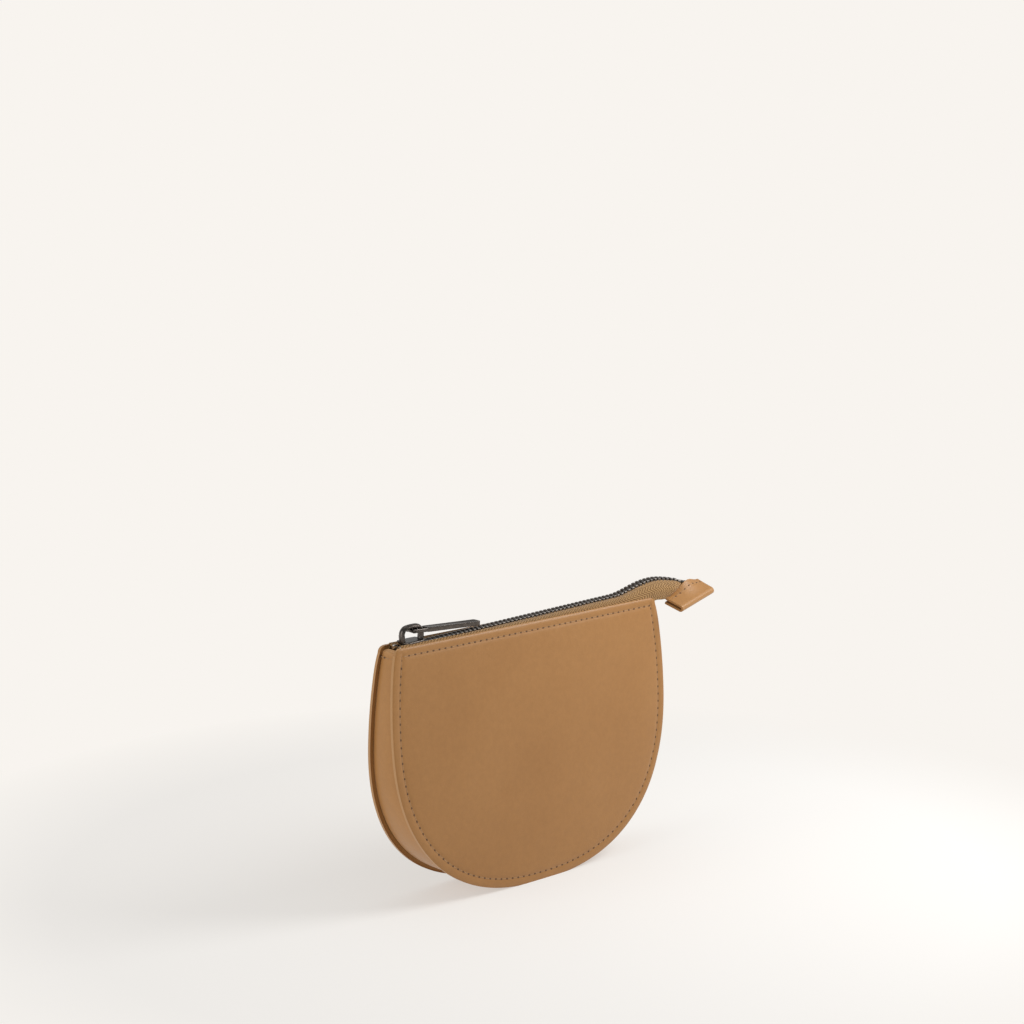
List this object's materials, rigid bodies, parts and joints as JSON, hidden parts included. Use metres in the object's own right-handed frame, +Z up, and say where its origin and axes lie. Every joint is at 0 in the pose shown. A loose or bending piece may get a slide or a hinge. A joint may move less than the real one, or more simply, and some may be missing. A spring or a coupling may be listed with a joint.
{
  "type": "zippered pouch",
  "caption": "Half-moon leather pouch with flat D-shaped panels, a gusset round the curved edge, a metal zip along the straight top and a folded end tab.",
  "frame": {"origin": "middle of the flat that the pouch stands on, under the gusset at mid width", "axes": "+X along the zip towards the end tab, -Y out of the front panel, +Z up"},
  "size_m": [0.1904, 0.0295, 0.1213],
  "materials": {
    "leather": "smooth tan, fine grain, satin",
    "lining": "plain woven lining cloth",
    "tape": "herringbone woven zip tape",
    "thread": "twisted thread matching the leather",
    "gunmetal": "dark gunmetal plating"
  },
  "bodies": {
    "pouch": {"front_panel": "leather", "back_panel": "leather", "gusset": "leather", "front_lining": "lining", "back_lining": "lining", "gusset_lining": "lining", "front_zip_tape": "tape", "back_zip_tape": "tape", "front_teeth": "gunmetal", "back_teeth": "gunmetal", "top_stops": "gunmetal", "front_edge_stitching": "thread", "back_edge_stitching": "thread", "front_top_stitching": "thread", "back_top_stitching": "thread", "gusset_hem_stitching": "thread"},
    "slider": {"slider_body": "gunmetal", "slider_bail": "gunmetal"},
    "pull": {"pull_eye": "gunmetal", "pull_bar": "gunmetal"},
    "tail": {"tail_tape_front": "tape", "tail_tape_back": "tape", "tail_teeth": "gunmetal", "bottom_stop": "gunmetal", "end_tab": "leather", "end_tab_stitching": "thread"}
  },
  "joints": [
    {"name": "slider_slide", "type": "slide", "parent": "pouch", "child": "slider", "axis": [0.9996, 0, 0.0276], "range_m": [0, 0.085], "deforming": ["front_teeth", "back_teeth"]},
    {"name": "pull_swing", "type": "hinge", "parent": "slider", "child": "pull", "pos_m": [-0.06315, 0, 0.11846], "axis": [0, -1, 0], "range_deg": [0, 172]},
    {"name": "tail_flex", "type": "hinge", "parent": "pouch", "child": "tail", "pos_m": [0.0605, 0, 0.1168], "axis": [0, -1, 0], "range_deg": [0, 30]}
  ]
}
